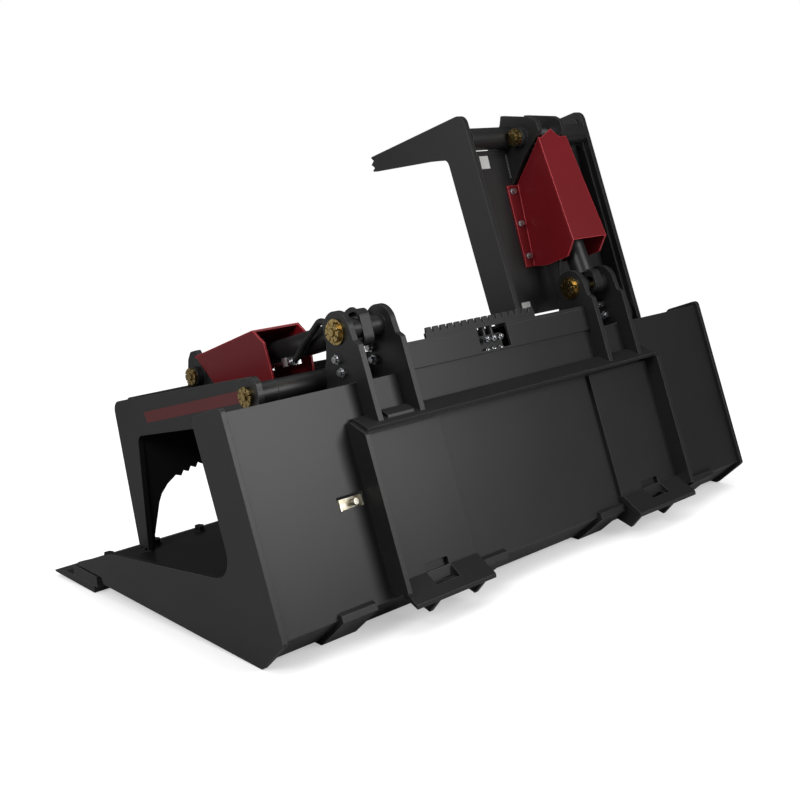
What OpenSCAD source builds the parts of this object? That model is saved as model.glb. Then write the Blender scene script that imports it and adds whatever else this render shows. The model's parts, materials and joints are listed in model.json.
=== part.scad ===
// Scrap grapple bucket for a compact loader, with two independent hydraulic grapples.
// X runs across the bucket, -Y is the front and Z is up; the blade and the heel bars stand on Z = 0.

/* [Bucket] */
// Overall width of the bucket
bucket_w = 1829; // [1500:10:2000]
// Thickness of the side plates
side_t = 12.7; // [10:0.1:16]
// Thickness of the floor, heel and back sheets
sheet_t = 8; // [6:0.5:10]
// Distance from a side plate's edge in to the outside of the sheets
sheet_inset = 12; // [8:1:14]
// Horizontal run of the sloping heel
heel_run = 84; // [60:1:110]
// Height of the sloping heel
heel_rise = 81; // [60:1:110]
// Forward lean of the back
back_lean = 20.2; // [15:0.1:25]
// Length of the back sheet up its slope
back_len = 523; // [500:1:529]
// Length of a side plate's back leg
leg_len = 536; // [530:1:545]
// Width of a side plate's back leg
leg_w = 126; // [100:1:150]
// Height of the side plate's nose above its bottom edge
nose_z = 26; // [22:1:40]
// Forward end of the side plate
nose_f = 928; // [900:1:940]

/* [Cutting edge] */
// Rear edge of the thick base edge
base_f0 = 828; // [800:1:840]
// Front edge of the thick base edge
base_f1 = 958; // [945:1:970]
// Thickness of the base edge
base_t = 32; // [28:1:36]
// Rear edge of the bolted blade
blade_f0 = 846; // [830:1:860]
// Front tip of the bolted blade
blade_f1 = 1073; // [1050:1:1100]
// Length of the bevel on the blade
bevel_len = 69; // [50:1:80]
// Thickness of the blade
blade_t = 20; // [16:1:24]
// Spacing of the blade bolts
bolt_pitch = 148.8; // [140:0.1:156]
// Diameter of the blade bolts
bolt_d = 19; // [16:1:22]

/* [Coupler] */
// Outside width over the coupler's side flanges
flange_span = 1159; // [1150:1:1165]
// Rear reach of the flanges and of the lips
flange_o = 46; // [40:1:50]
// Height of the top of the coupler plates up the back
coupler_s1 = 395; // [380:1:400]
// Width of one coupler plate
coupler_w = 268; // [240:1:290]
// Width of a wedge slot
wedge_w = 80; // [60:1:90]

/* [Grapples] */
// Distance from the side plate's face to the outer tine
tine_w0 = 175; // [160:1:190]
// Distance over the two tines of one grapple
grapple_w = 549; // [530:1:560]
// Thickness of a tine plate
tine_t = 16; // [14:1:20]
// Forward place of the hinge axis
hinge_f = 328; // [325:1:331]
// Height of the hinge axis
hinge_z = 552; // [549:1:555]
// Opening angle of a grapple
open_angle = 83.7; // [75:0.1:84]
// Opening of the left grapple as drawn
left_open = 0; // [0:0.1:84]
// Opening of the right grapple as drawn
right_open = 83.7; // [0:0.1:84]
// Diameter of the hinge pins
pin_d = 38; // [32:1:38]
// Diameter of the cylinders' base and rod pins
cyl_pin_d = 25.4; // [20:0.1:30]
// Radial running clearance of a pin
pin_gap = 0.1; // [0.05:0.01:0.1]
// Pitch of the saw teeth
saw_pitch = 24.5; // [22:0.5:28]
// Depth of a saw tooth
saw_depth = 14; // [10:1:18]

/* [Cylinders] */
// Distance from the side plate's face to a cylinder's middle plane
cyl_w = 472; // [470:0.5:474]
// Outside diameter of the barrel
barrel_d = 64; // [60:1:70]
// Bore of the barrel
bore_d = 51; // [46:0.1:54]
// Diameter of the rod
rod_d = 35; // [30:1:38]
// Distance from the base pin to the gland's face
gland_end = 425; // [415:1:430]

/* [Hidden] */
$fn = 48;

steel_c = [0.16, 0.16, 0.17];
dark_c = [0.10, 0.10, 0.11];
red_c = [0.37, 0.10, 0.11];
gold_c = [0.80, 0.60, 0.20];
chrome_c = [0.78, 0.79, 0.80];

pin_r = pin_d / 2;
hole_r = pin_r + pin_gap;
cyl_pin_r = cyl_pin_d / 2;
inner_w = bucket_w - 2 * side_t;

// A place on the back plane, o behind the side plates' rear edge and s up the slope
function back_point(o, s) =
    [s * sin(back_lean) - o * cos(back_lean), heel_rise + s * cos(back_lean) + o * sin(back_lean)];
function crossed(a, b) = a[0] * b[1] - a[1] * b[0];
// Where the line through p along u meets the line through q along v
function meet(p, u, q, v) = p + u * crossed(q - p, v) / crossed(u, v);
function unit(v) = v / norm(v);

back_dir = [sin(back_lean), cos(back_lean)];
heel_dir = unit([-heel_run, heel_rise]);
heel_normal = [heel_dir[1], -heel_dir[0]];
// Bends of the sheets at a depth d inside the side plate's outline
function low_bend(d) = meet([0, d], [1, 0], [heel_run, 0] + d * heel_normal, heel_dir);
function high_bend(d) = meet([heel_run, 0] + d * heel_normal, heel_dir, back_point(-d, 0), back_dir);

// Arc that rounds corner p between its neighbours a and b
function corner_arc(p, a, b, r, steps = 6) =
    let (ua = unit(a - p), ub = unit(b - p), half = acos(max(-1, min(1, ua * ub))) / 2,
        c = p + unit(ua + ub) * r / sin(half), s = p + ua * r / tan(half) - c, e = p + ub * r / tan(half) - c,
        a0 = atan2(s[1], s[0]), turn = atan2(crossed(s, e), s * e))
    [for (i = [0:steps]) c + r * [cos(a0 + turn * i / steps), sin(a0 + turn * i / steps)]];
// Outline with a radius at each point, 0 for a sharp corner
function rounded(points, radii) = let (n = len(points))
    [for (i = [0:n - 1]) each (radii[i] > 0
        ? corner_arc(points[i], points[(i + n - 1) % n], points[(i + 1) % n], radii[i]) : [points[i]])];

// The whole bucket leans back until the blade's rear edge and the heel stand on the ground
edge_drop = base_t - sheet_inset + blade_t;
tilt = atan(edge_drop / (blade_f0 - heel_run));
lip_s = -22;
lip_o = flange_o + 4;
rear_tip = back_point(lip_o, lip_s + 6);
front_y = -blade_f1 * cos(tilt) - edge_drop * sin(tilt);
rear_y = -rear_tip[0] * cos(tilt) + rear_tip[1] * sin(tilt);

module on_ground() {
    translate([0, -(front_y + rear_y) / 2, -heel_run * sin(tilt)]) rotate([-tilt, 0, 0]) children();
}
// A plate in a front-to-back plane, its outer face at w from the side, drawn as forward and height
module plate(w, t) {
    translate([bucket_w / 2 - w, 0, 0]) rotate([90, 0, -90]) linear_extrude(t) children();
}
// A shape drawn as forward and height, run across the bucket from w0 to w1
module across(w0, w1) {
    plate(w0, w1 - w0) children();
}
// A frame on the back's slope: x across, y rearward of the side plates' edge, z up the slope
module on_back() {
    translate([0, 0, heel_rise]) rotate([back_lean, 0, 0]) children();
}
// A block on the back's slope
module back_block(w0, w1, o0, o1, s0, s1) {
    on_back() translate([bucket_w / 2 - w1, o0, s0]) cube([w1 - w0, o1 - o0, s1 - s0]);
}
// A plate on the back's slope drawn as rearward and up the slope
module back_rib(w, t) {
    on_back() translate([bucket_w / 2 - w - t, 0, 0]) rotate([90, 0, 90]) linear_extrude(t) children();
}
// A round bar across the bucket from w0 to w1
module bar(w0, w1, r) {
    translate([bucket_w / 2 - w0, 0, 0]) rotate([0, -90, 0]) cylinder(h = w1 - w0, r = r);
}
module mirrored(right) {
    if (right) mirror([1, 0, 0]) children();
    else children();
}

// Side plates
beam_slope = 0.147;
beam_start = [247, 171];
beam_end = 735;
function beam_top(f) = beam_start[1] - beam_slope * (f - beam_start[0]);
inner_corner = meet(beam_start, [1, -beam_slope], back_point(-leg_w, 0), back_dir);
edge_notch = 18;
module side_profile() {
    polygon(rounded([[heel_run, 0], [base_f0 - 38, 0], [base_f0 - 28, edge_notch], [nose_f, edge_notch],
        [nose_f, nose_z], [beam_end, beam_top(beam_end)], inner_corner,
        back_point(-leg_w, leg_len), back_point(0, leg_len), [0, heel_rise]],
        [10, 0, 6, 0, 4, 30, 60, 22, 14, 10]));
}
module side_plate(right) {
    color(steel_c) mirrored(right) plate(0, side_t) side_profile();
}

// Floor, heel and back sheets
floor_front = 870;
module sheet(points) {
    color(steel_c) across(side_t, bucket_w - side_t) polygon(points);
}
module floor_plate() {
    d = sheet_inset;
    sheet([low_bend(d), [floor_front, d], [floor_front, d + sheet_t], low_bend(d + sheet_t)]);
}
module heel_plate() {
    d = sheet_inset;
    sheet([low_bend(d), low_bend(d + sheet_t), high_bend(d + sheet_t), high_bend(d)]);
}
slot_w = [248, 326];
slot_s = [240, 273];
module back_plate() {
    d = sheet_inset;
    difference() {
        sheet([high_bend(d), high_bend(d + sheet_t), back_point(-d - sheet_t, back_len), back_point(-d, back_len)]);
        back_block(slot_w[0], slot_w[1], -d - 2 * sheet_t, -d + sheet_t, slot_s[0], slot_s[1]);
    }
}

// Box along the top of the back, between the inner brackets
box_w = [551, bucket_w - 551];
box_s1 = 592;
box_depth = 90;
box_o = -4;
box_floor = 500;
notch_w = [830, 945];
module box_rear() {
    color(steel_c) difference() {
        back_block(box_w[0], box_w[1], box_o - sheet_t, box_o, back_len, box_s1 - sheet_t);
        back_block(notch_w[0], notch_w[1], box_o - 2 * sheet_t, box_o + sheet_t, back_len + 5, box_s1);
    }
}
module box_top() {
    color(steel_c) difference() {
        back_block(box_w[0], box_w[1], -box_depth, box_o, box_s1 - sheet_t, box_s1);
        back_block(notch_w[0], notch_w[1], box_o - 62, box_o + sheet_t, box_s1 - 2 * sheet_t, box_s1 + sheet_t);
    }
}
module box_front() {
    color(steel_c) back_block(box_w[0], box_w[1], -box_depth, -box_depth + sheet_t, box_floor, box_s1 - sheet_t);
    color(steel_c) back_block(box_w[0], box_w[1], -box_depth + sheet_t, -sheet_inset - sheet_t, box_floor,
        box_floor + sheet_t);
}
grip_w = [655, 1073];
grip_teeth = 16;
grip_t = 8;
module grip_strip() {
    step = (grip_w[1] - grip_w[0]) / grip_teeth;
    band = 14;
    tooth = 14;
    color(dark_c) on_back() translate([bucket_w / 2 - grip_w[1], -10, box_s1]) rotate([90, 0, 0])
        linear_extrude(grip_t) polygon(concat([[0, 0]], [for (i = [0:grip_teeth - 1]) each [
            [i * step, band], [(i + 0.12) * step, band + tooth], [(i + 0.7) * step, band + tooth],
            [(i + 0.82) * step, band]]], [[grip_teeth * step, band], [grip_teeth * step, 0]]));
}

// Base edge, bolted blade and its bolts
base_top = sheet_inset;
base_low = base_top - base_t;
bolt_f = 930;
bolt_count = 11;
function bolt_w(i) = bucket_w / 2 + (i - bolt_count / 2) * bolt_pitch;
module bolt_holes(r) {
    for (i = [0:bolt_count]) translate([bucket_w / 2 - bolt_w(i), -bolt_f, base_low - blade_t - 1])
        cylinder(h = base_t + blade_t + 2, r = r);
}
module base_edge() {
    color(steel_c) difference() {
        across(0, bucket_w) polygon([[base_f0, base_low], [base_f1, base_low], [base_f1, base_top - 10],
            [base_f1 - 10, base_top], [base_f0, base_top]]);
        bolt_holes(bolt_d / 2);
    }
}
module cutting_blade() {
    color(steel_c) difference() {
        across(0, bucket_w) polygon([[blade_f0, base_low - blade_t], [blade_f1 - 3, base_low - blade_t],
            [blade_f1, base_low - blade_t + 4], [blade_f1 - bevel_len, base_low], [blade_f0, base_low]]);
        bolt_holes(bolt_d / 2);
    }
}
module edge_bolts() {
    color(dark_c) for (i = [0:bolt_count]) translate([bucket_w / 2 - bolt_w(i), -bolt_f, base_low - blade_t + 3]) {
        cylinder(h = base_t + blade_t, r = bolt_d / 2);
        translate([0, 0, base_t + blade_t]) cylinder(h = 11, r = 15, $fn = 6);
    }
}
module edge_washers() {
    color(dark_c) for (i = [0:bolt_count]) translate([bucket_w / 2 - bolt_w(i), -bolt_f, base_top])
        difference() {
            cylinder(h = 3, r = 18);
            translate([0, 0, -1]) cylinder(h = 5, r = bolt_d / 2);
        }
}

// Heel bars
skid_w = [[169, 274], [617, 722]];
skid_front = 430;
module skid_bars() {
    d = sheet_inset;
    profile = [back_point(0, 16), [0, heel_rise], [heel_run, 0], [skid_front, 0], [skid_front + d, d],
        low_bend(d), high_bend(d), back_point(-d, 24)];
    color(dark_c) for (span = skid_w, right = [false, true])
        mirrored(right) across(span[0], span[1]) polygon(profile);
}

// Coupler on the back
coupler_t = sheet_inset;
flange_t = 12.7;
flange_w = (bucket_w - flange_span) / 2;
coupler_w0 = flange_w + flange_t;
wedge_w0 = 440;
module coupler_plates() {
    color(steel_c) for (right = [false, true]) mirrored(right) difference() {
        back_block(coupler_w0, coupler_w0 + coupler_w, -coupler_t, 0, 40, coupler_s1);
        back_block(wedge_w0, wedge_w0 + wedge_w, -coupler_t - 1, 1, 30, 60);
    }
}
module coupler_flanges() {
    color(steel_c) for (right = [false, true]) mirrored(right) difference() {
        back_rib(flange_w, flange_t) polygon(rounded([[-coupler_t, 24], [0, 16], [flange_o, 10],
            [flange_o, 398], [0, 434], [-coupler_t, 434]], [0, 0, 4, 10, 4, 0]));
    }
}
bar_t = 10;
module coupler_top_bar() {
    color(steel_c) back_rib(coupler_w0, flange_span - 2 * flange_t) polygon([[-coupler_t, coupler_s1 + 46],
        [-coupler_t, coupler_s1 + 34], [0, coupler_s1 + 34], [flange_o - 8, coupler_s1 + 6],
        [flange_o, coupler_s1 + 14], [0, coupler_s1 + 46]]);
}
module top_bar_tab() {
    color(steel_c) back_rib(430, 84) polygon([[4, coupler_s1 + 44], [30, coupler_s1 + 25.3],
        [30, coupler_s1 + 33], [8, coupler_s1 + 50]]);
}
module lower_lips() {
    color(steel_c) for (right = [false, true]) mirrored(right) difference() {
        back_rib(coupler_w0, coupler_w) polygon([[-coupler_t, 40], [-coupler_t, 24], [0, lip_root],
            [lip_o - 2, lip_s - 4], [lip_o, lip_s + 6], [4, 40]]);
        back_block(wedge_w0, wedge_w0 + wedge_w, 4, 30, 0, 40);
    }
}
gusset_w = [430, 586];
// Height up the slope of a lip's underside, o behind the back
lip_root = 18;
function lip_under(o) = lip_root - (lip_root - lip_s + 4) * o / (lip_o - 2);
gusset_low = [-7, 27];
module lip_gussets() {
    d = sheet_inset;
    color(steel_c) for (w = gusset_w, right = [false, true]) mirrored(right)
        plate(w, 12) polygon([back_point(-d, 24), back_point(0, lip_root), back_point(lip_o - 8, lip_under(lip_o - 8)),
            gusset_low, 0.45 * high_bend(d) + 0.55 * low_bend(d), high_bend(d)]);
}
module slot_bracket() {
    color([0.75, 0.66, 0.42]) difference() {
        back_block(slot_w[0] + 4, slot_w[1] - 4, -32, -sheet_inset + 2, slot_s[0], slot_s[0] + 26);
        back_block(slot_w[0] + 9, slot_w[1] - 9, -27, 0, slot_s[0] - 1, slot_s[0] + 30);
    }
    color(chrome_c) on_back() translate([bucket_w / 2 - (slot_w[0] + slot_w[1]) / 2 - 14, -30, slot_s[0] + 13]) rotate([-90, 0, 0])
        cylinder(h = 22, r = 8);
}

// Brackets that carry the grapples' hinges and the cylinders' base pins
bracket_t = 16;
bracket_gap = 121;
base_pin = back_point(-34, 654);
hinge = [hinge_f, hinge_z];
hinge_o = -crossed([hinge_f, hinge_z - heel_rise], back_dir);
hinge_s = [hinge_f, hinge_z - heel_rise] * back_dir;
ear_r = 50;
tube_r = 28.5;
function bracket_w(i) = cyl_w + (i == 0 ? -bracket_gap / 2 - bracket_t : bracket_gap / 2);
module bracket(w) {
    bar_top = coupler_s1 + 46;
    foot_o = flange_o - 13;
    seat = -sheet_inset;
    difference() {
        back_rib(w, bracket_t) {
            translate([-34, 654]) circle(r = ear_r);
            polygon([[seat, bar_top], [0, bar_top], [foot_o, bar_top - foot_o * 32 / flange_o], [foot_o, 606],
                [28, 612], [19, 620], [15, 660], [-34 - ear_r * 0.84, 654 + ear_r * 0.54], [-80, 644], [-96, 610],
                [-104, 592], [-118, 574], [-148, 556], [-181, 549], [-184, 533], [-160, 513],
                [-110, back_len + 2], [seat, back_len + 2]]);
        }
        translate([0, -base_pin[0], base_pin[1]]) bar(w - 1, w + bracket_t + 1, cyl_pin_r);
        translate([0, -hinge_f, hinge_z]) bar(w - 1, w + bracket_t + 1, tube_r);
        if (w > cyl_w) on_back() translate([bucket_w / 2 - w - bracket_t - 1, -box_depth, 490])
            cube([bracket_t - (box_w[0] - w) + 1, 200, box_s1 - 490]);
    }
}
// Spacer tubes on the base pin, to both sides of the barrel's eye
spacer_r = 26;
module brackets(right) {
    color(steel_c) mirrored(right) {
        for (i = [0, 1]) bracket(bracket_w(i));
        translate([0, -base_pin[0], base_pin[1]]) difference() {
            for (span = [[bracket_w(0) + bracket_t, cyl_w - eye_w / 2 - 1], [cyl_w + eye_w / 2 + 1, bracket_w(1)]])
                bar(span[0], span[1], spacer_r);
            bar(bracket_w(0), bracket_w(1) + bracket_t, cyl_pin_r);
        }
    }
}
boss_len = 56;
tube_w = [tine_w0 + tine_t + boss_len + 1, tine_w0 + grapple_w - tine_t - boss_len - 1];
module hinge_tubes() {
    color(steel_c) for (right = [false, true]) mirrored(right) translate([0, -hinge_f, hinge_z]) difference() {
        bar(tube_w[0], tube_w[1], tube_r);
        bar(tube_w[0] - 1, tube_w[1] + 1, hole_r);
    }
}
head_r = 25;
head_t = 9;
// Notched round head of a pin between w0 and w1, its notches open on both faces
module pin_head(w0, w1) {
    difference() {
        bar(w0, w1, head_r);
        for (k = [0:7]) translate([bucket_w / 2 - w1 - 1, 0, 0]) rotate([45 * k + 22.5, 0, 0])
            translate([0, head_r - 9, -1.5]) cube([w1 - w0 + 2, 12, 3]);
    }
}
module hinge_pins() {
    color(gold_c) for (right = [false, true]) mirrored(right) translate([0, -hinge_f, hinge_z]) {
        bar(tine_w0 - 1, tine_w0 + tine_t + boss_len + 80, pin_r);
        pin_head(tine_w0 - 1 - head_t, tine_w0 - 1);
        bar(tine_w0 - 5 - head_t, tine_w0 - 1 - head_t, 11, $fn = 6);
        bar(tine_w0 + grapple_w - tine_t - boss_len - 80, tine_w0 + grapple_w + 1, pin_r);
        pin_head(tine_w0 + grapple_w + 1, tine_w0 + grapple_w + 1 + head_t);
    }
}
module at_base_pin() {
    translate([0, -base_pin[0], base_pin[1]]) children();
}
module base_pins() {
    w0 = bracket_w(0);
    w1 = bracket_w(1) + bracket_t;
    color(gold_c) for (right = [false, true]) mirrored(right) at_base_pin() {
        bar(w0 - 6, w1 + 6, cyl_pin_r);
        pin_head(w0 - 6 - head_t, w0 - 6);
        bar(w0 - 10 - head_t, w0 - 6 - head_t, 11, $fn = 6);
        pin_head(w1 + 6, w1 + 6 + head_t);
    }
    color(dark_c) for (right = [false, true], w = [w0 - 6, w1]) mirrored(right) at_base_pin() difference() {
        bar(w, w + 6, 32);
        bar(w - 1, w + 7, cyl_pin_r);
    }
}

// Bulkhead fittings on the outer brackets, and one hose to each cylinder
banjo_r = 12;
fitting_at = [[-52, 590], [-45, 556]];
inner_fitting_at = [[-80, 606], [-79, 574]];
module fitting(w, side, reach) {
    bar(side > 0 ? w : w - 9, side > 0 ? w + 9 : w, 13, $fn = 6);
    bar(side > 0 ? w + 9 : w - reach, side > 0 ? w + reach : w - 9, 8);
}
module fittings() {
    w0 = bracket_w(0);
    color(chrome_c) for (right = [false, true]) mirrored(right) {
        for (p = fitting_at) on_back() translate([0, p[0], p[1]]) fitting(w0, -1, 17);
        on_back() translate([0, fitting_at[1][0], fitting_at[1][1]]) fitting(w0 + bracket_t, 1, 19);
        on_back() translate([0, fitting_at[0][0], fitting_at[0][1]]) bar(w0 + bracket_t, w0 + bracket_t + 9, 13, $fn = 6);
        on_back() translate([0, fitting_at[0][0], fitting_at[0][1]]) bar(w0 + bracket_t + 9, hose_w + 9, banjo_r);
        for (p = inner_fitting_at) on_back() translate([0, p[0], p[1]]) fitting(bracket_w(1), -1, 19);
    }
}
hose_r = 8;
hose_w = 424;
// Routes of the hoses, forward and up from the base pin, from the barrel to the bracket's fitting
closed_route = [[226.2, -108.8], [210.5, -103.8], [190, -86], [166, -55], [141, -32], [120, -11], [98, 9], [75, 8], [54, -14],
    [38, -42], [23, -60], [8.2, -66]];
open_route = [[139.3, 210.4], [131.7, 194.3], [120, 165], [90, 101], [62, 40], [48, -8], [36, -42], [22, -60], [8.2, -66]];
// Points of a smooth curve through the route, three to a stretch
function bend(r, i, t) = let (n = len(r) - 1, a = r[max(i - 1, 0)], b = r[i], c = r[i + 1], d = r[min(i + 2, n)])
    0.5 * (2 * b + t * (c - a) + t * t * (2 * a - 5 * b + 4 * c - d) + t * t * t * (3 * b - a - 3 * c + d));
function smooth(r, steps) = concat([for (i = [0:len(r) - 2], k = [0:steps - 1]) bend(r, i, k / steps)],
    [r[len(r) - 1]]);
module hose_tube(route, sides = 10) {
    path = smooth(route, 2);
    n = len(path);
    rings = [for (i = [0:n - 1]) let (t = unit(path[min(i + 1, n - 1)] - path[max(i - 1, 0)]))
        for (k = [0:sides - 1]) let (a = 360 * k / sides)
            [hose_r * sin(a), -path[i][0] + hose_r * cos(a) * t[1], path[i][1] + hose_r * cos(a) * t[0]]];
    polyhedron(rings, concat([[for (k = [0:sides - 1]) k]], [[for (k = [sides - 1:-1:0]) (n - 1) * sides + k]],
        [for (i = [0:n - 2], k = [0:sides - 1]) let (j = (k + 1) % sides)
            [i * sides + j, i * sides + k, (i + 1) * sides + k, (i + 1) * sides + j]]));
}
module hose(right, route) {
    color(dark_c) mirrored(right) at_base_pin() translate([bucket_w / 2 - hose_w, 0, 0]) hose_tube(route);
}

// Grapple frame: forward is a along the arm's outer edge, up is h, both from the hinge axis, when closed
arm_drop = 14.2;
edge_h = 45.5;
module in_arm(open) {
    translate([0, -hinge_f, hinge_z]) rotate([arm_drop - open, 0, 0]) children();
}
arm_depth = 103;
corner_a = 657;
inner_a = 560;
module tine_profile() {
    low = edge_h - arm_depth;
    circle(r = edge_h);
    polygon(rounded([[corner_a, edge_h], [679.7, -374.7], [665, -364], [657, -379], [643, -367],
        [635.8, -384.8], [inner_a, low], [95, low], [0, -edge_h], [-edge_h, 0], [-edge_h, edge_h]],
        [30, 3, 2, 0, 2, 3, 28, 60, 0, 0, 26]));
}
module tine(w, right, open) {
    color(steel_c) mirrored(right) in_arm(open) difference() {
        plate(w, tine_t) tine_profile();
        bar(w - 1, w + tine_t + 1, hole_r);
    }
}
doubler_t = 8;
doubler_edge = 18;
doubler_end = -240;
module doubler_profile() {
    top = edge_h - doubler_edge;
    low = edge_h - arm_depth + doubler_edge;
    circle(r = 32);
    polygon(rounded([[0, 32], [60, top], [corner_a - doubler_edge, top], [653, doubler_end], [616, doubler_end],
        [inner_a + 17, low], [90, low], [0, -32]], [0, 0, 18, 17, 17, 24, 0, 0]));
}
inner_w0 = tine_w0 + grapple_w - tine_t;
module doublers(right, open) {
    color(dark_c) mirrored(right) in_arm(open) for (w = [tine_w0 + tine_t, inner_w0 - doubler_t]) difference() {
        plate(w, doubler_t) doubler_profile();
        bar(w - 1, w + doubler_t + 1, tube_r);
    }
}
// Bosses welded inside the tines, turning with them on the hinge pins
module hinge_bosses(right, open) {
    color(steel_c) mirrored(right) in_arm(open)
        for (w = [tine_w0 + tine_t, inner_w0 - boss_len]) difference() {
            bar(w, w + boss_len, tube_r);
            bar(w - 1, w + boss_len + 1, hole_r);
        }
}
// Top face of the sheet between the tines, at a forward of the hinge
sheet_a = [60, 552];
grapple_sheet_t = 10;
function sheet_h(a) = -33.5 + 34 * (a - 53) / 520;
module between_tines(right, open) {
    color(steel_c) mirrored(right) in_arm(open) difference() {
        children();
        for (w = [tine_w0 + tine_t, inner_w0 - doubler_t]) plate(w - 0.001, doubler_t + 0.002) doubler_profile();
    }
}
module top_sheet(right, open) {
    between_tines(right, open) across(tine_w0 + tine_t, inner_w0) polygon([
        [sheet_a[0], sheet_h(sheet_a[0]) - grapple_sheet_t], [front_top[0] - 10, sheet_h(front_top[0] - 10) - grapple_sheet_t],
        front_top, [sheet_a[0], sheet_h(sheet_a[0])]]);
}
// The front sheet hangs upright from the end of the top sheet when the grapple is closed
front_top = [548, sheet_h(548)];
front_h = 394;
mid_w = tine_w0 + grapple_w / 2;
arch_z = 217;
arch_drop = 0.0011;
saw_half = 150;
saw_count = 12;
// Height of a tooth's tip above the tine tips, at u from the middle
function tip_z(u) = arch_z - arch_drop * u * u;
function saw_side(side) = [for (i = [0:saw_count / 2 - 1]) let (u = saw_half - 3 - i * saw_pitch)
    each [[side * (u - 8 + saw_pitch / 2), tip_z(u) + saw_depth * 0.4 + saw_depth],
        [side * u, tip_z(u)], [side * (u - 8), tip_z(u) + saw_depth]]];
module front_profile() {
    half = (grapple_w - 2 * tine_t) / 2;
    leg = [[-half, 0], [-half + 10, 0], [-half + 14, 45], [-half + 36, 134], [-half + 46, 157], [-half + 67, 181],
        [-half + 95, 200]];
    teeth = [for (i = [0:saw_count]) let (u = -saw_half + 4 + i * saw_pitch, v = min(abs(u), abs(u + saw_pitch)))
        each (u < -4 ? [[u, tip_z(u)], [u + 8, tip_z(u) + saw_depth]] : [])];
    left_edge = concat(leg, teeth);
    n = len(left_edge);
    polygon(concat(left_edge, [for (i = [n - 1:-1:0]) [-left_edge[i][0], left_edge[i][1]]],
        [[half, front_h], [-half, front_h]]));
}
module front_sheet(right, open) {
    between_tines(right, open) translate([bucket_w / 2 - mid_w, -front_top[0], front_top[1]])
        rotate([-arm_drop, 0, 0]) translate([0, 0, -front_h]) rotate([90, 0, 0])
            linear_extrude(grapple_sheet_t) front_profile();
}
corner_tube_at = [588, 18];
corner_tube_r = 32;
lug_t = 16;
lug_gap = 90;
function lug_w(i) = cyl_w + (i == 0 ? -lug_gap / 2 - lug_t : lug_gap / 2);
module corner_tube(right, open) {
    between_tines(right, open) difference() {
        translate([0, -corner_tube_at[0], corner_tube_at[1]])
            for (span = [[tine_w0 + tine_t, lug_w(0)], [lug_w(1) + lug_t, inner_w0]]) difference() {
                bar(span[0], span[1], corner_tube_r);
                bar(span[0] - 1, span[1] + 1, corner_tube_r - 7);
            }
        translate([0, -rod_pin_at[0], rod_pin_at[1]])
            for (w = [lug_w(0) - boss_reach - 19, lug_w(1) + lug_t - 1]) bar(w, w + boss_reach + 20, boss_r + 3);
    }
}
// Lugs that hold the rod pin
rod_pin_at = [570, 72];
boss_reach = 22;
boss_r = 27;
closed_forward = [cos(arm_drop), sin(arm_drop)];
closed_down = [sin(arm_drop), -cos(arm_drop)];
sheet_nose = front_top + grapple_sheet_t * closed_forward;
module rod_lugs(right, open) {
    color(steel_c) mirrored(right) in_arm(open) for (i = [0, 1]) plate(lug_w(i), lug_t) difference() {
        polygon(rounded([[450, sheet_h(450)], front_top, sheet_nose, sheet_nose + 32 * closed_down, [602, -26],
            [632, 5], [656, 18], [612, 122], [592, 142], [562, 143], [536, 98], [510, 60]],
            [0, 0, 0, 0, 20, 6, 4, 20, 14, 6, 20, 20]));
        translate(rod_pin_at) circle(r = cyl_pin_r);
    }
    color(dark_c) mirrored(right) in_arm(open) translate([0, -rod_pin_at[0], rod_pin_at[1]])
        for (w = [lug_w(0) - boss_reach, lug_w(1) + lug_t]) difference() {
            bar(w, w + boss_reach, boss_r);
            bar(w - 1, w + boss_reach + 1, cyl_pin_r);
        }
}
// Bent cover over the cylinder
guard_t = 6;
guard_w = 459;
ridge_rear = [228, 159.5];
ridge_front = [548, 126.5];
tongue = [[-29, 548], [-4, 573], [50, 548]];
// Half width of the cover's side panel at a forward and h up
function side_half(a, h) = 74.6 - 0.0381 * a + 0.0697 * h;
// Outer edge of the foot flange, from the cover's middle
function flange_edge(a) = 97 + 0.02 * a;
flange_a = [200, 447];
function reversed(list) = [for (i = [len(list) - 1:-1:0]) list[i]];
// A flat panel between two outlines of matching points
module slab(front, back) {
    flip = cross(front[1] - front[0], front[2] - front[1]) * (front[0] - back[0]) > 0;
    n = len(front);
    polyhedron(flip ? concat(reversed(front), reversed(back)) : concat(front, back),
        concat([[for (i = [0:n - 1]) i]], [[for (i = [n - 1:-1:0]) n + i]],
            [for (i = [0:n - 1]) [(i + 1) % n, i, n + i, n + (i + 1) % n]]));
}
function lean(points, side, d) = [for (p = points) [side * (side_half(p[0], p[1]) - d), -p[0], p[1]]];
module guard_side(side) {
    a0 = flange_a[0];
    a1 = flange_a[1];
    outline = [ridge_front, ridge_rear, [189, 121.5], [a0 - 12, sheet_h(a0) + 60], [a0, sheet_h(a0)], [a1, sheet_h(a1)]];
    slab(lean(outline, side, 0), lean(outline, side, guard_t));
}
module guard_flange(side) {
    rim = [for (a = flange_a) each [side_half(a, sheet_h(a)) - guard_t, flange_edge(a)]];
    low = [[side * rim[0], -flange_a[0], sheet_h(flange_a[0])], [side * rim[1], -flange_a[0], sheet_h(flange_a[0])],
        [side * rim[3], -flange_a[1], sheet_h(flange_a[1])], [side * rim[2], -flange_a[1], sheet_h(flange_a[1])]];
    high = [for (p = low) p + [0, 0, guard_t]];
    slab(low, high);
}
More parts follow.
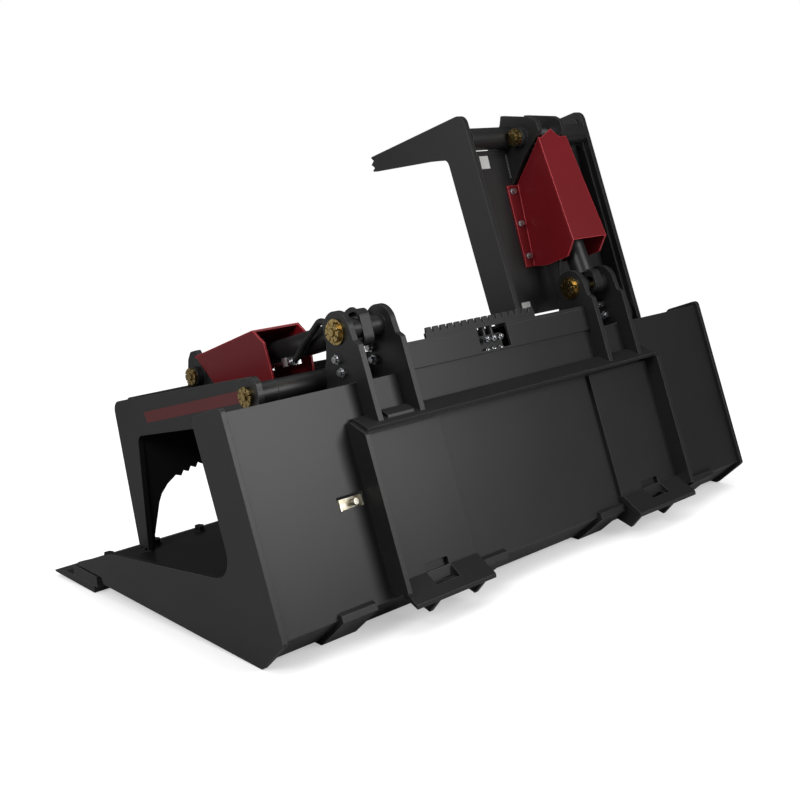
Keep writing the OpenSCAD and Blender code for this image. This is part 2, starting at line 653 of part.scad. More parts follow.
module guard_ridge() {
    f = side_half(ridge_front[0], ridge_front[1]);
    r = side_half(ridge_rear[0], ridge_rear[1]);
    fall = (ridge_front[1] - ridge_rear[1]) / (ridge_front[0] - ridge_rear[0]);
    high = [[-f, -ridge_front[0], ridge_front[1]], [-r, -ridge_rear[0], ridge_rear[1]],
        [r, -ridge_rear[0], ridge_rear[1]], [f, -ridge_front[0], ridge_front[1]],
        for (p = tongue) [-p[0], -p[1], ridge_front[1] + fall * (p[1] - ridge_front[0])]];
    slab([for (p = high) p - [0, 0, guard_t]], high);
}
guard_bolt_a = [232, 331, 429];
function guard_bolt_b(a) = 73 + 0.035 * a;
module guard(right, open) {
    color(red_c) mirrored(right) in_arm(open) translate([bucket_w / 2 - guard_w, 0, 0]) {
        guard_ridge();
        for (side = [-1, 1]) {
            guard_side(side);
            guard_flange(side);
        }
    }
}
module guard_bolts(right, open) {
    lift = atan(34 / 520);
    color(chrome_c) mirrored(right) in_arm(open) translate([bucket_w / 2 - guard_w, 0, 0])
        for (a = guard_bolt_a, side = [-1, 1])
            translate([side * guard_bolt_b(a), -a, sheet_h(a) + guard_t]) rotate([-lift, 0, 0]) {
                translate([0, 0, 0.2]) cylinder(h = 2, r = 10);
                translate([0, 0, 2.2]) cylinder(h = 8, r = 8, $fn = 6);
            }
}

// Cylinders: along the rod from the base pin
function turned(p, angle) = [p[0] * cos(angle) - p[1] * sin(angle), p[0] * sin(angle) + p[1] * cos(angle)];
function rod_end(open) = hinge + turned(rod_pin_at, open - arm_drop);
function pin_span(open) = norm(rod_end(open) - base_pin);
function cyl_angle(open) = let (d = rod_end(open) - base_pin) atan2(d[1], d[0]);
module in_cylinder(right, open) {
    mirrored(right) translate([0, -base_pin[0], base_pin[1]]) rotate([-cyl_angle(open), 0, 0]) children();
}
module along(d0, d1, r) {
    translate([bucket_w / 2 - cyl_w, -d0, 0]) rotate([90, 0, 0]) cylinder(h = d1 - d0, r = r);
}
gland_len = 34;
// Long hole of the barrel's eye, across the rod and along it, which keeps the rod's stroke plain and straight
slot_rise = 26.6;
slot_side = 5;
eye_half = [slot_side + cyl_pin_r + 9, slot_rise + cyl_pin_r + 7];
eye_w = 32;
module eye_slot() {
    r = cyl_pin_r + 0.5;
    for (k = [-1, 1], j = [-1, 1]) translate([j * slot_side, k * slot_rise]) circle(r = r);
    square([2 * slot_side, 2 * (slot_rise + r)], center = true);
    square([2 * (slot_side + r), 2 * slot_rise], center = true);
}
module barrel_eye() {
    plate(cyl_w - eye_w / 2, eye_w) difference() {
        polygon(rounded([[-eye_half[0], -eye_half[1]], [eye_half[0], -eye_half[1]],
            [eye_half[0] + 12, -barrel_d / 2], [eye_half[0] + 12, barrel_d / 2], [eye_half[0], eye_half[1]],
            [-eye_half[0], eye_half[1]]], [22, 12, 0, 0, 12, 22]));
        eye_slot();
    }
}
cap_d = 60;
module barrel(right, open) {
    color(dark_c) in_cylinder(right, open) difference() {
        union() {
            along(spacer_r + slot_side + 4, gland_end - gland_len, barrel_d / 2);
            barrel_eye();
        }
        along(cap_d, gland_end, bore_d / 2 + 0.1);
    }
}
module gland(right, open) {
    color(dark_c) in_cylinder(right, open) difference() {
        union() {
            along(gland_end - gland_len, gland_end - 6, barrel_d / 2);
            along(gland_end - 6, gland_end, barrel_d / 2 - 6);
        }
        along(gland_end - gland_len - 1, gland_end + 1, rod_d / 2 + 0.1);
    }
}
// Port block low on the barrel's outer side, and the hard line from it to the gland end
port_d = [250, 272];
port_h = -34;
line_end = 372;
line_r = 6;
module barrel_line(right, open) {
    color(chrome_c) in_cylinder(right, open) difference() {
        union() {
            translate([bucket_w / 2 - cyl_w + 12, -port_d[1], port_h - 12]) cube([cyl_w - hose_w - 3, port_d[1] - port_d[0], 24]);
            translate([bucket_w / 2 - hose_w - 6, -port_d[1], port_h]) rotate([90, 0, 0])
                cylinder(h = line_end - port_d[1], r = line_r);
            translate([bucket_w / 2 - cyl_w + 14, -line_end - 16, port_h - 10]) cube([cyl_w - hose_w - 10, 16, 24]);
        }
        along(port_d[0] - 1, line_end + 17, barrel_d / 2);
    }
}
piston_len = 28;
piston_at = 385;
rod_eye_r = 26;
module rod(right, open) {
    rest = pin_span(open);
    front = rest - pin_span(0) + piston_at;
    color(chrome_c) in_cylinder(right, open) difference() {
        union() {
            along(front - piston_len, front, bore_d / 2);
            along(front, rest, rod_d / 2);
            translate([0, -rest, 0]) bar(cyl_w - 40, cyl_w + 40, rod_eye_r);
        }
        translate([0, -rest, 0]) bar(cyl_w - 50, cyl_w + 50, cyl_pin_r + pin_gap);
    }
}
// Rod pin, held in the lugs' bosses
module rod_pins(right, open) {
    w0 = lug_w(0) - boss_reach;
    w1 = lug_w(1) + lug_t + boss_reach;
    color(gold_c) mirrored(right) in_arm(open) translate([0, -rod_pin_at[0], rod_pin_at[1]]) {
        bar(w0, w1, cyl_pin_r);
        pin_head(w0 - head_t, w0);
        bar(w0 - 4 - head_t, w0 - head_t, 11, $fn = 6);
        pin_head(w1, w1 + head_t);
        bar(w1 + head_t, w1 + head_t + 4, 11, $fn = 6);
    }
}
// Hydraulic blocks and fittings in the notch of the box
module manifold() {
    color(chrome_c) on_back() translate([bucket_w / 2 - notch_w[1] + 12, -62, box_floor + sheet_t]) {
        cube([notch_w[1] - notch_w[0] - 24, 38, 62]);
        for (i = [0:2]) translate([16 + i * 29, 19, 62]) cylinder(h = 34, r = 9);
    }
}

on_ground() side_plate(false);  // side_plate_left
on_ground() side_plate(true);  // side_plate_right
on_ground() floor_plate();
on_ground() heel_plate();
on_ground() back_plate();
on_ground() box_rear();
on_ground() box_top();
on_ground() box_front();
on_ground() grip_strip();
on_ground() base_edge();
on_ground() cutting_blade();
on_ground() edge_bolts();
on_ground() edge_washers();
on_ground() skid_bars();
on_ground() coupler_plates();
on_ground() coupler_flanges();
on_ground() coupler_top_bar();
on_ground() top_bar_tab();
on_ground() lower_lips();
on_ground() lip_gussets();
on_ground() slot_bracket();
on_ground() brackets(false);  // brackets_left
on_ground() brackets(true);  // brackets_right
on_ground() hinge_tubes();
on_ground() hinge_pins();
on_ground() base_pins();
on_ground() fittings();
on_ground() hose(false, closed_route);  // hose_left
on_ground() hose(true, open_route);  // hose_right
on_ground() tine(tine_w0, false, left_open);  // tine_outer_left
on_ground() tine(inner_w0, false, left_open);  // tine_inner_left
on_ground() doublers(false, left_open);  // doublers_left
on_ground() top_sheet(false, left_open);  // top_sheet_left
on_ground() front_sheet(false, left_open);  // front_sheet_left
on_ground() corner_tube(false, left_open);  // corner_tube_left
on_ground() rod_lugs(false, left_open);  // rod_lugs_left
on_ground() hinge_bosses(false, left_open);  // hinge_bosses_left
on_ground() guard(false, left_open);  // guard_left
on_ground() guard_bolts(false, left_open);  // guard_bolts_left
on_ground() tine(tine_w0, true, right_open);  // tine_outer_right
on_ground() tine(inner_w0, true, right_open);  // tine_inner_right
on_ground() doublers(true, right_open);  // doublers_right
on_ground() top_sheet(true, right_open);  // top_sheet_right
on_ground() front_sheet(true, right_open);  // front_sheet_right
on_ground() corner_tube(true, right_open);  // corner_tube_right
on_ground() rod_lugs(true, right_open);  // rod_lugs_right
on_ground() hinge_bosses(true, right_open);  // hinge_bosses_right
on_ground() guard(true, right_open);  // guard_right
on_ground() guard_bolts(true, right_open);  // guard_bolts_right
on_ground() barrel(false, left_open);  // barrel_left
on_ground() barrel_line(false, left_open);  // barrel_line_left
on_ground() gland(false, left_open);  // gland_left
on_ground() rod(false, left_open);  // rod_left
on_ground() rod_pins(false, left_open);  // rod_pin_left
on_ground() barrel(true, right_open);  // barrel_right
on_ground() barrel_line(true, right_open);  // barrel_line_right
on_ground() gland(true, right_open);  // gland_right
on_ground() rod(true, right_open);  // rod_right
on_ground() rod_pins(true, right_open);  // rod_pin_right
on_ground() manifold();
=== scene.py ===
import json
import math
import bmesh
import bpy
from mathutils import Matrix, Vector


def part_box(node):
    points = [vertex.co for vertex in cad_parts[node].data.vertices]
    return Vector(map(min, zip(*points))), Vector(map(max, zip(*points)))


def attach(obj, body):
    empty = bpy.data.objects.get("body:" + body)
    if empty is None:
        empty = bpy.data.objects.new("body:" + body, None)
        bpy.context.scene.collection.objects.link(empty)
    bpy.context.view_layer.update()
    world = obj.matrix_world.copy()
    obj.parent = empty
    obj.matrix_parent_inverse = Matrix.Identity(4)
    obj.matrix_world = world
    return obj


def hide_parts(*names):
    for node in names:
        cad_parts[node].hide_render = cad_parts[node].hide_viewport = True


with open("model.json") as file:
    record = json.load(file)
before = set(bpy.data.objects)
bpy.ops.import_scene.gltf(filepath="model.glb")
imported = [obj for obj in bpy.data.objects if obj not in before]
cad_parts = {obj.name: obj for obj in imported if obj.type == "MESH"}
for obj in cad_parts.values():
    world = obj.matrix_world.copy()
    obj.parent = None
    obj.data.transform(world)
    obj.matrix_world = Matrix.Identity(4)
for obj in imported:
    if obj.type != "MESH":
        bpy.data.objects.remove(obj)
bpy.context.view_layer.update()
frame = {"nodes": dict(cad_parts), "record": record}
nodes = frame["nodes"]
slots = {entry["node"]: entry["material_slot"] for entry in frame["record"]["subparts"]}


# Camera

cameraSet = {
    "place": (2.2791, 2.4551, 1.0832),
    "aim": (0.3782, 0.3431, 0.5033),
    "roll": -3.8,  # degrees
    "focal": 1168.2,  # in pixels of a picture that is "width" across
    "width": 800,
}


def makeCamera():
    place = Vector(cameraSet["place"])
    aim = Vector(cameraSet["aim"])
    roll = math.radians(cameraSet["roll"])
    data = bpy.data.cameras.new("camera")
    data.sensor_width = 36
    data.lens = data.sensor_width * cameraSet["focal"] / cameraSet["width"]
    camera = bpy.data.objects.new("camera", data)
    bpy.context.scene.collection.objects.link(camera)
    turn = (aim - place).to_track_quat("-Z", "Y").to_matrix().to_4x4()
    camera.matrix_world = Matrix.Translation(place) @ turn @ Matrix.Rotation(roll, 4, "Z")
    bpy.context.scene.camera = camera


makeCamera()
print("camera done")


# Shader helpers

def feed(tree, value, socket):
    if isinstance(value, bpy.types.NodeSocket):
        tree.links.new(value, socket)
    elif isinstance(value, (tuple, list)) and len(value) == 3 and len(socket.default_value) == 4:
        socket.default_value = (*value, 1)
    else:
        socket.default_value = value


def mixColour(tree, amount, first, second):
    node = tree.nodes.new("ShaderNodeMix")
    node.data_type = "RGBA"
    feed(tree, amount, node.inputs["Factor"])
    feed(tree, first, node.inputs["A"])
    feed(tree, second, node.inputs["B"])
    return node.outputs["Result"]


def stretch(tree, value, low, high, start=0.0, end=1.0):
    node = tree.nodes.new("ShaderNodeMapRange")
    feed(tree, value, node.inputs["Value"])
    node.inputs["From Min"].default_value = low
    node.inputs["From Max"].default_value = high
    node.inputs["To Min"].default_value = start
    node.inputs["To Max"].default_value = end
    return node.outputs["Result"]


def sums(tree, kind, first, second):
    node = tree.nodes.new("ShaderNodeMath")
    node.operation = kind
    feed(tree, first, node.inputs[0])
    feed(tree, second, node.inputs[1])
    return node.outputs["Value"]


def noise(tree, scale, detail=3, rough=0.55):
    node = tree.nodes.new("ShaderNodeTexNoise")
    where = tree.nodes.new("ShaderNodeTexCoord")
    tree.links.new(where.outputs["Object"], node.inputs["Vector"])
    feed(tree, scale, node.inputs["Scale"])
    node.inputs["Detail"].default_value = detail
    node.inputs["Roughness"].default_value = rough
    return node.outputs["Fac"]


def bump(tree, height, strength, distance, normal=None):
    node = tree.nodes.new("ShaderNodeBump")
    feed(tree, height, node.inputs["Height"])
    node.inputs["Strength"].default_value = strength
    node.inputs["Distance"].default_value = distance
    if normal is not None:
        tree.links.new(normal, node.inputs["Normal"])
    return node.outputs["Normal"]


def makeGroup(name, inputs, outputs):
    group = bpy.data.node_groups.new(name, "ShaderNodeTree")
    for label, kind, value in inputs:
        socket = group.interface.new_socket(label, in_out="INPUT", socket_type=kind)
        socket.default_value = value
    for label, kind in outputs:
        group.interface.new_socket(label, in_out="OUTPUT", socket_type=kind)
    return group, group.nodes.new("NodeGroupInput"), group.nodes.new("NodeGroupOutput")


def useGroup(tree, group, **values):
    node = tree.nodes.new("ShaderNodeGroup")
    node.node_tree = group
    for label, value in values.items():
        feed(tree, value, node.inputs[label])
    return node


edgeSet = {"radius": 0.0015, "samples": 6, "mask": (0.99, 0.86)}  # the mask by the cosine of the turn
coatSet = {
    "drift": {"scale": 3.5, "detail": 4, "range": (0.3, 0.7)},
    "spots": {"scale": 160, "detail": 2, "range": (0.56, 0.72)},
    "peel": {"scale": 700.0, "detail": 2, "strength": 0.10, "depth": 0.0004},
}


# Rounded edges: a softened normal, and a mask that is 1 on an edge
def makeEdgeGroup():
    group, given, result = makeGroup(
        "roundedEdge",
        [("Radius", "NodeSocketFloat", edgeSet["radius"])],
        [("Normal", "NodeSocketVector"), ("Mask", "NodeSocketFloat")],
    )
    bevel = group.nodes.new("ShaderNodeBevel")
    bevel.samples = edgeSet["samples"]
    group.links.new(given.outputs["Radius"], bevel.inputs["Radius"])
    flat = group.nodes.new("ShaderNodeNewGeometry")
    dot = group.nodes.new("ShaderNodeVectorMath")
    dot.operation = "DOT_PRODUCT"
    group.links.new(bevel.outputs["Normal"], dot.inputs[0])
    group.links.new(flat.outputs["True Normal"], dot.inputs[1])
    group.links.new(bevel.outputs["Normal"], result.inputs["Normal"])
    group.links.new(stretch(group, dot.outputs["Value"], *edgeSet["mask"]), result.inputs["Mask"])
    return group


# Coat: slow drift of tone, fine orange peel and small dull spots of a sprayed surface
def makeCoatGroup():
    group, given, result = makeGroup(
        "sprayedCoat",
        [("Normal", "NodeSocketVector", (0, 0, 1))],
        [("Tone", "NodeSocketFloat"), ("Dull", "NodeSocketFloat"), ("Normal", "NodeSocketVector")],
    )
    for label, facts in (("Tone", coatSet["drift"]), ("Dull", coatSet["spots"])):
        spread = stretch(group, noise(group, facts["scale"], facts["detail"]), *facts["range"])
        group.links.new(spread, result.inputs[label])
    peel = coatSet["peel"]
    height = noise(group, peel["scale"], peel["detail"])
    group.links.new(bump(group, height, peel["strength"], peel["depth"], given.outputs["Normal"]),
                    result.inputs["Normal"])
    return group


edgeGroup = makeEdgeGroup()
coatGroup = makeCoatGroup()


def newMaterial(name):
    material = bpy.data.materials.new(name)
    material.use_nodes = True
    tree = material.node_tree
    tree.nodes.clear()
    output = tree.nodes.new("ShaderNodeOutputMaterial")
    shader = tree.nodes.new("ShaderNodeBsdfPrincipled")
    tree.links.new(shader.outputs["BSDF"], output.inputs["Surface"])
    return material, tree, shader


# Materials: what all paints, all metals and the rubber share

# Scale and range of the noise patches that break up the painted edge highlight, and the roughness added by the
# dull spots
paintSet = {"highlightScale": 45, "highlightRange": (0.3, 0.6), "dull": 0.035}
metalSet = {
    "edge": 0.0008,
    "tone": (0.35, 0.65),
    "gloss": {"finer": 2, "range": (0.3, 0.7), "spread": 0.12},
    "grain": {"finer": 6, "strength": 0.15, "depth": 0.0003},
}
rubberSet = {
    "tone": {"scale": 60, "colours": ((0.010, 0.010, 0.010), (0.022, 0.022, 0.022))},
    "gloss": {"scale": 90, "range": (0.3, 0.7), "rough": (0.42, 0.6)},
    "grain": {"scale": 1200, "strength": 0.25, "depth": 0.0005},
}


def paint(name, colour, dark, edge, roughness, radius=edgeSet["radius"], leastHighlight=0.5):
    material, tree, shader = newMaterial(name)
    edges = useGroup(tree, edgeGroup, Radius=radius)
    coat = useGroup(tree, coatGroup, Normal=edges.outputs["Normal"])
    base = mixColour(tree, coat.outputs["Tone"], colour, dark)
    # Painted edge highlight: a lighter edge colour is mixed in along the rounded edges, broken into patches by
    # noise
    patches = stretch(tree, noise(tree, paintSet["highlightScale"]), *paintSet["highlightRange"], leastHighlight, 1.0)
    highlightMask = sums(tree, "MULTIPLY", edges.outputs["Mask"], patches)
    feed(tree, mixColour(tree, highlightMask, base, edge), shader.inputs["Base Color"])
    rough = sums(tree, "MULTIPLY_ADD", coat.outputs["Dull"], paintSet["dull"])
    rough.node.inputs[2].default_value = roughness
    feed(tree, rough, shader.inputs["Roughness"])
    feed(tree, coat.outputs["Normal"], shader.inputs["Normal"])
    return material


def metal(name, colour, dark, roughness, scale):
    material, tree, shader = newMaterial(name)
    edges = useGroup(tree, edgeGroup, Radius=metalSet["edge"])
    gloss, grain = metalSet["gloss"], metalSet["grain"]
    tone = stretch(tree, noise(tree, scale, 4), *metalSet["tone"])
    feed(tree, mixColour(tree, tone, colour, dark), shader.inputs["Base Color"])
    shader.inputs["Metallic"].default_value = 1
    rough = stretch(tree, noise(tree, scale * gloss["finer"], 2), *gloss["range"], roughness,
                    roughness + gloss["spread"])
    feed(tree, rough, shader.inputs["Roughness"])
    height = noise(tree, scale * grain["finer"], 2)
    feed(tree, bump(tree, height, grain["strength"], grain["depth"], edges.outputs["Normal"]),
         shader.inputs["Normal"])
    return material


def rubber():
    material, tree, shader = newMaterial("rubber")
    tone, gloss, grain = rubberSet["tone"], rubberSet["gloss"], rubberSet["grain"]
    feed(tree, mixColour(tree, noise(tree, tone["scale"]), *tone["colours"]), shader.inputs["Base Color"])
    feed(tree, stretch(tree, noise(tree, gloss["scale"]), *gloss["range"], *gloss["rough"]),
         shader.inputs["Roughness"])
    feed(tree, bump(tree, noise(tree, grain["scale"], 2), grain["strength"], grain["depth"]),
         shader.inputs["Normal"])
    return material


# Paint: colour, its darker drift, the colour of the painted edge highlight, roughness, then the edge's radius in
# metres and the least strength of that highlight
# Metal: colour, its darker spots, roughness, scale of the grain
looks = {
    "black_paint": paint("blackPaint", (0.017, 0.017, 0.0175), (0.012, 0.012, 0.0125), (0.13, 0.13, 0.13), 0.40),
    "edge_steel": paint("edgePaint", (0.014, 0.014, 0.0145), (0.010, 0.010, 0.0105), (0.10, 0.10, 0.10), 0.36),
    "guard_red": paint("guardRed", (0.200, 0.006, 0.011), (0.165, 0.005, 0.009), (1.0, 0.09, 0.11), 0.40,
                       0.0038, 0.9),
    "gold_zinc": metal("goldZinc", (0.62, 0.46, 0.19), (0.26, 0.18, 0.07), 0.20, 180),
    "chrome": metal("chrome", (0.80, 0.81, 0.83), (0.70, 0.71, 0.74), 0.08, 30),
    "zinc": metal("zinc", (0.66, 0.67, 0.69), (0.50, 0.51, 0.53), 0.22, 50),
    "rubber": rubber(),
    "bare_plate": metal("barePlate", (0.86, 0.82, 0.70), (0.66, 0.60, 0.46), 0.34, 50),
    "stripe": paint("stripeRed", (0.120, 0.012, 0.014), (0.095, 0.010, 0.012), (0.20, 0.04, 0.04), 0.40, 0.0003),
    "tag": paint("paleTag", (0.80, 0.80, 0.78), (0.70, 0.70, 0.68), (0.8, 0.8, 0.8), 0.45, 0.0003),
    "weld": paint("weldBead", (0.042, 0.042, 0.043), (0.030, 0.030, 0.031), (0.08, 0.08, 0.08), 0.40, 0.0004),
}
for name, obj in nodes.items():
    obj.data.materials.clear()
    obj.data.materials.append(looks[slots[name]])
nodes["manifold"].data.materials[0] = looks["black_paint"]
print("materials done")


# Places on the object, in the row frame and in metres, from sizes in millimetres

body = {
    "halfWidth": 914.5,
    "tilt": math.atan(40 / 762),  # of the floor, as the bucket rests
    "restF": 84,  # where the floor meets the ground, forward
    "backTilt": math.radians(20.2),
    "backFoot": 81,  # height of the back's lower end
    "bladeTip": (1073, -40),  # forward and up
    "lipTip": (50, -16),  # out from the back and along it
    "basePin": (-34, 654),
}
arm = {"hingeF": 328, "hingeZ": 552, "drop": 14.2, "opened": 83.7}  # millimetres and degrees


# w across from the left end, f forward, z up, in the bucket's own frame
def bucketPoint(w, f, z):
    sine, cosine = math.sin(body["tilt"]), math.cos(body["tilt"])
    y = -f * cosine + z * sine
    up = f * sine + z * cosine - body["restF"] * sine
    return Vector(((body["halfWidth"] - w) / 1000, (y - middleY) / 1000, up / 1000))


# o out from the back's face and s up along it
def backPoint(o, s):
    sine, cosine = math.sin(body["backTilt"]), math.cos(body["backTilt"])
    return (s * sine - o * cosine, body["backFoot"] + s * cosine + o * sine)


# Halfway between the blade's tip and the lips' tips, across the ground
def findMiddle():
    ends = (body["bladeTip"], backPoint(*body["lipTip"]))
    rows = [-f * math.cos(body["tilt"]) + z * math.sin(body["tilt"]) for f, z in ends]
    return sum(rows) / 2


middleY = findMiddle()
basePin = backPoint(*body["basePin"])


# a forward along the arm and h out from it, opened by an angle in degrees
def armPoint(w, a, h, opened):
    turn = math.radians(opened - arm["drop"])
    f = arm["hingeF"] + a * math.cos(turn) - h * math.sin(turn)
    z = arm["hingeZ"] + a * math.sin(turn) + h * math.cos(turn)
    return bucketPoint(w, f, z)


def onRight(points):
    return [Vector((-p.x, p.y, p.z)) for p in points]


def smoothPath(points, steps=6):
    path = []
    last = len(points) - 1
    for i in range(last):
        before, here = points[max(i - 1, 0)], points[i]
        after, far = points[i + 1], points[min(i + 2, last)]
        for k in range(steps):
            t = k / steps
            path.append(0.5 * (2 * here + (after - before) * t
                               + (2 * before - 5 * here + 4 * after - far) * t * t
                               + (3 * here - before - 3 * after + far) * t ** 3))
    path.append(points[last])
    return path


def addMesh(name, verts, faces, material, riding, smooth=False):
    mesh = bpy.data.meshes.new(name)
    mesh.from_pydata([tuple(v) for v in verts], [], faces)
    mesh.validate()
    grid = bmesh.new()
    grid.from_mesh(mesh)
    bmesh.ops.recalc_face_normals(grid, faces=grid.faces)
    grid.to_mesh(mesh)
    grid.free()
    if smooth:
        mesh.shade_smooth()
    mesh.materials.append(material)
    obj = bpy.data.objects.new(name, mesh)
    bpy.context.scene.collection.objects.link(obj)
    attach(obj, riding)
    return obj


# Rings of a tube along a path: the side direction turns with the path and never flips
def tubeParts(path, radius, sides):
    verts, faces = [], []
    side = Vector((1, 0, 0))
    count = len(path)
    for i, point in enumerate(path):
        along = (path[min(i + 1, count - 1)] - path[max(i - 1, 0)]).normalized()
        side = side - along * side.dot(along)
        if side.length < 1e-4:
            side = along.orthogonal()
        side.normalize()
        up = along.cross(side)
        r = radius(i / (count - 1)) if callable(radius) else radius
        for k in range(sides):
            angle = 2 * math.pi * k / sides
            verts.append(point + (side * math.cos(angle) + up * math.sin(angle)) * r)
    for i in range(count - 1):
        for k in range(sides):
            j = (k + 1) % sides
            faces.append((i * sides + k, i * sides + j, (i + 1) * sides + j, (i + 1) * sides + k))
    faces.append(tuple(range(sides)))
    faces.append(tuple((count - 1) * sides + k for k in range(sides)))
    return verts, faces


def tube(name, path, radius, material, riding, sides=20, smooth=True, sharp=50):
    verts, faces = tubeParts(path, radius, sides)
    obj = addMesh(name, verts, faces, material, riding, smooth)
    if smooth:
        obj.data.set_sharp_from_angle(angle=math.radians(sharp))
    return obj


decalSet = {"low": 0.0001, "high": 0.0004}


# A flat plate on a four sided or longer outline, raised along its normal
def decal(name, corners, normal, material, riding):
    count = len(corners)
    low = [c + normal * decalSet["low"] for c in corners]
    high = [c + normal * decalSet["high"] for c in corners]
    faces = [tuple(range(count)), tuple(range(count, 2 * count))]
    faces += [(i, (i + 1) % count, count + (i + 1) % count, count + i) for i in range(count)]
    return addMesh(name, low + high, faces, material, riding)


# Hoses: rubber tube with a crimped ferrule and a nut at each end, replacing the plain CAD hoses
# A route runs from the barrel's port to the bracket, forward and up from the base pin in millimetres

hoses = {
    "hose_main_left": {
        "side": "left", "w": 424, "radius": 0.0090, "replaces": "hose_left",
        "route": [(226.2, -108.8), (210.5, -103.8), (190, -86), (166, -55), (141, -32), (120, -11), (98, 9),
                  (75, 8), (54, -14), (38, -42), (23, -60), (8.2, -66)],
    },
    "hose_main_right": {
        "side": "right", "w": 424, "radius": 0.0084, "replaces": "hose_right",
        "route": [(139.3, 210.4), (131.7, 194.3), (120, 165), (94, 100), (74, 38), (66, -10), (50, -46), (27, -65),
                  (8.2, -66)],
    },
    "hose_return_left": {
        "side": "left", "w": 511, "radius": 0.0062,
        "route": [(222, -74), (204, -68), (176, -52), (146, -34), (118, -9), (97, 20), (70, 32), (48, 14),
                  (42, -14), (40, -38), (37, -48)],
    },
    "hose_return_right": {
        "side": "right", "w": 511, "radius": 0.0062,
        "route": [(103.6, 209.8), (96, 192), (84, 160), (73, 124), (70, 92), (70, 52), (67, 12), (64, -20),
                  (46, -48)],
    },
}
hoseEnd = {
    "ferrule": (0.001, 0.003, 0.020, 0.022),  # metres along the hose
    "nut": (0.0005, 0.009),
    "thick": 1.34,  # shares of the hose's radius
    "thin": 1.16,
    "nutSize": 1.35,
}


def makeHose(name, facts):
    riding = "barrel_" + facts["side"]
    radius = facts["radius"]
    points = [bucketPoint(facts["w"], basePin[0] + f, basePin[1] + z) for f, z in facts["route"]]
    if facts["side"] == "right":
        points = onRight(points)
    path = smoothPath(points)
    hose = tube(name, path, radius, looks["rubber"], riding)
    for end, run in (("start", path[:5]), ("end", path[::-1][:5])):
        along = (run[1] - run[0]).normalized()
        tube(name + "_ferrule_" + end, [run[0] + along * d for d in hoseEnd["ferrule"]],
             lambda t: radius * (hoseEnd["thick"] if 0.2 < t < 0.8 else hoseEnd["thin"]), looks["zinc"], riding)
        tube(name + "_nut_" + end, [run[0] + along * d for d in hoseEnd["nut"]], radius * hoseEnd["nutSize"],
             looks["zinc"], riding, 6, False)
    if "replaces" in facts:
        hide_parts(facts["replaces"])


for name, facts in hoses.items():
    makeHose(name, facts)
print("hoses done")


# Chrome nuts and plugs on the manifold's rear face, three to a row

manifoldNuts = {
    "rows": (0.30, 0.62),  # shares of the block's height
    "columns": (0.22, 0.50, 0.78),  # shares of its width
    "sunk": 0.004,  # metres into the rear face
    "nut": {"length": 0.009, "radius": 0.0095},
    "plug": {"steps": (0.009, 0.014, 0.016), "radius": 0.006, "tip": 0.0045},
}


def makeManifoldNuts():
    low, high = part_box("manifold")
    outward = (bucketPoint(0, *backPoint(10, 500)) - bucketPoint(0, *backPoint(0, 500))).normalized()
    nut, plug = manifoldNuts["nut"], manifoldNuts["plug"]
    for row, rise in enumerate(manifoldNuts["rows"]):
        for column, across in enumerate(manifoldNuts["columns"]):
            x = low[0] + (high[0] - low[0]) * across
            z = low[2] + (high[2] - low[2]) * rise
            foot = Vector((x, high[1] - manifoldNuts["sunk"], z))
            tag = "manifold_nut_%d_%d" % (row, column)
            tube(tag, [foot, foot + outward * nut["length"]], nut["radius"], looks["chrome"], "bucket", 6, False)
            tube(tag + "_plug", [foot + outward * d for d in plug["steps"]],
                 lambda t: plug["radius"] if t < 0.9 else plug["tip"], looks["chrome"], "bucket", 16)


makeManifoldNuts()
print("manifold nuts done")


# Plain red stripe on each outer tine, and blank tags on the open grapple's top sheet

stripe = {
    "w": 175,
    "corners": [(499, 4.1), (28, 17.7), (24, -11.7), (492, -26)],  # along the arm and out from it
}
tags = {
    "tag_low": {"w": (575, 612), "a": (77, 99)},
    "tag_high": {"w": (614, 650), "a": (505, 543)},
}
sheet = {"rear": (53, -33.5), "run": 520, "rise": 34}  # its top face: the rear edge, then the slope
grapples = {"left": 0.0, "right": arm["opened"]}  # how far each is opened in the drawn position


# Height of the top sheet's face, a forward along the arm
def sheetH(a):
    rearA, rearH = sheet["rear"]
    return rearH + sheet["rise"] * (a - rearA) / sheet["run"]


def makeStripes():
    for side, opened in grapples.items():
        corners = [armPoint(stripe["w"], a, h, opened) for a, h in stripe["corners"]]
        normal = Vector((1, 0, 0))
        if side == "right":
            corners, normal = onRight(corners), -normal
        decal("stripe_" + side, corners, normal, looks["stripe"], "grapple_" + side)


def makeTags():
    opened = arm["opened"]
    up = (armPoint(0, 100, sheetH(100) + 10, opened) - armPoint(0, 100, sheetH(100), opened)).normalized()
    for name, spot in tags.items():
        (w0, w1), (a0, a1) = spot["w"], spot["a"]
        corners = [armPoint(w, a, sheetH(a), opened) for w, a in ((w0, a0), (w1, a0), (w1, a1), (w0, a1))]
        decal(name, onRight(corners), up, looks["tag"], "grapple_right")


makeStripes()
makeTags()
print("markings done")


# Weld beads: a low rippled bead along a seam between a grapple's sheet and a tine or a lug

welds = {
    "weld_sheet_outer": {"w": 191.5, "a": (250, 400, 545), "radius": 0.0045},
    "weld_sheet_inner": {"w": 707.5, "a": (250, 400, 545), "radius": 0.0045},
    "weld_lug_a": {"w": 409.0, "a": (470, 545), "radius": 0.004},
    "weld_lug_b": {"w": 535.0, "a": (470, 545), "radius": 0.004},
}
ripple = {"step": 0.004, "share": 0.10, "pace": 2.1}


def bead(name, points, riding, radius):
    run = []
    for first, second in zip(points, points[1:]):
        steps = max(2, int((second - first).length / ripple["step"]))
        run += [first.lerp(second, k / steps) for k in range(steps)]
    run.append(points[-1])
    count = len(run)
    tube(name, run, lambda t: radius * (1 + ripple["share"] * math.sin(t * count * ripple["pace"])), looks["weld"],
         riding, 8)


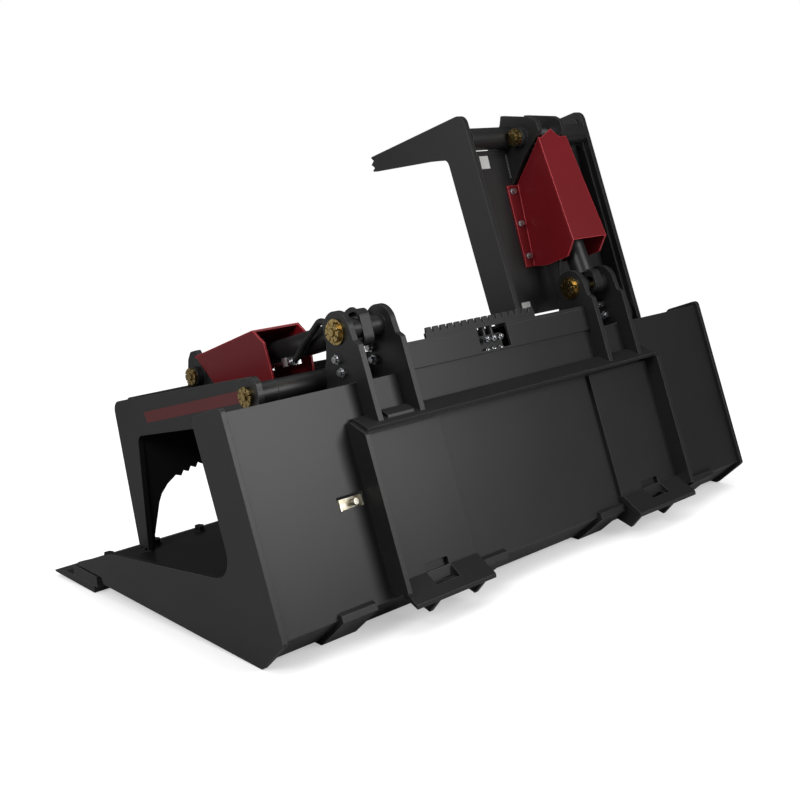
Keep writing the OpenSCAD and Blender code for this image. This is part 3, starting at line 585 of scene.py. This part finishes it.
def makeWelds():
    for side, opened in grapples.items():
        for name, seam in welds.items():
            points = [armPoint(seam["w"], a, sheetH(a) + 0.5, opened) for a in seam["a"]]
            if side == "right":
                points = onRight(points)
            bead(name + "_" + side, points, "grapple_" + side, seam["radius"])


makeWelds()
print("welds done")


# Stage

# The floor's camera-only glow runs from a low end under the object, a painted shadow, to a high end on the open
# floor; reach is how far the occlusion looks
floorSet = {"grey": 0.5, "rough": 0.8, "glowWithPaintedShadow": (0.40, 0.97), "reach": 0.30, "size": 60, "drop": 0.001}
worldSet = {"lighting": 0.07, "seen": 1.0}
lamps = {
    "key": {"at": (4.4, 1.6, 3.4), "to": (0.2, 0.2, 0.5), "size": 2.0, "power": 115},
    "sheen": {"at": (-0.9, 3.2, 1.7), "to": (0.7, 0.5, 0.4), "size": 1.8, "power": 54},
    "side": {"at": (3.6, -2.6, 1.3), "to": (-0.3, 0.1, 0.95), "size": 2.2, "power": 18},
    "top": {"at": (0.0, 0.2, 3.6), "to": (0, 0, 0.4), "size": 2.5, "power": 30},
}


# The floor is lit, and glows a little for the camera alone; ambient occlusion lowers that glow close under the
# object, a painted shadow
def makeStage():
    material, tree, shader = newMaterial("floor")
    shader.inputs["Base Color"].default_value = (*[floorSet["grey"]] * 3, 1)
    shader.inputs["Roughness"].default_value = floorSet["rough"]
    shader.inputs["Emission Color"].default_value = (1, 1, 1, 1)
    seen = tree.nodes.new("ShaderNodeLightPath")
    # Ambient occlusion near the object lowers the floor's glow: a painted contact shadow
    shadowOcclusion = tree.nodes.new("ShaderNodeAmbientOcclusion")
    shadowOcclusion.samples = 8
    shadowOcclusion.inputs["Distance"].default_value = floorSet["reach"]
    glowWithPaintedShadow = stretch(tree, shadowOcclusion.outputs["AO"], 0.0, 1.0, *floorSet["glowWithPaintedShadow"])
    feed(tree, sums(tree, "MULTIPLY", seen.outputs["Is Camera Ray"], glowWithPaintedShadow), shader.inputs["Emission Strength"])
    bpy.ops.mesh.primitive_plane_add(size=floorSet["size"], location=(0, 0, -floorSet["drop"]))
    floor = bpy.context.object
    floor.name = "floor"
    floor.data.materials.append(material)
    world = bpy.data.worlds.new("world")
    world.use_nodes = True
    bpy.context.scene.world = world
    tree = world.node_tree
    background = tree.nodes["Background"]
    background.inputs["Color"].default_value = (1, 1, 1, 1)
    seen = tree.nodes.new("ShaderNodeLightPath")
    feed(tree, stretch(tree, seen.outputs["Is Camera Ray"], 0, 1, worldSet["lighting"], worldSet["seen"]),
         background.inputs["Strength"])
    for name, lamp in lamps.items():
        data = bpy.data.lights.new(name, "AREA")
        data.size = lamp["size"]
        data.energy = lamp["power"]
        light = bpy.data.objects.new(name, data)
        bpy.context.scene.collection.objects.link(light)
        spot = Vector(lamp["at"])
        turn = (Vector(lamp["to"]) - spot).to_track_quat("-Z", "Y").to_matrix().to_4x4()
        light.matrix_world = Matrix.Translation(spot) @ turn
    bpy.context.scene.view_settings.view_transform = "Standard"


makeStage()
print("stage done")
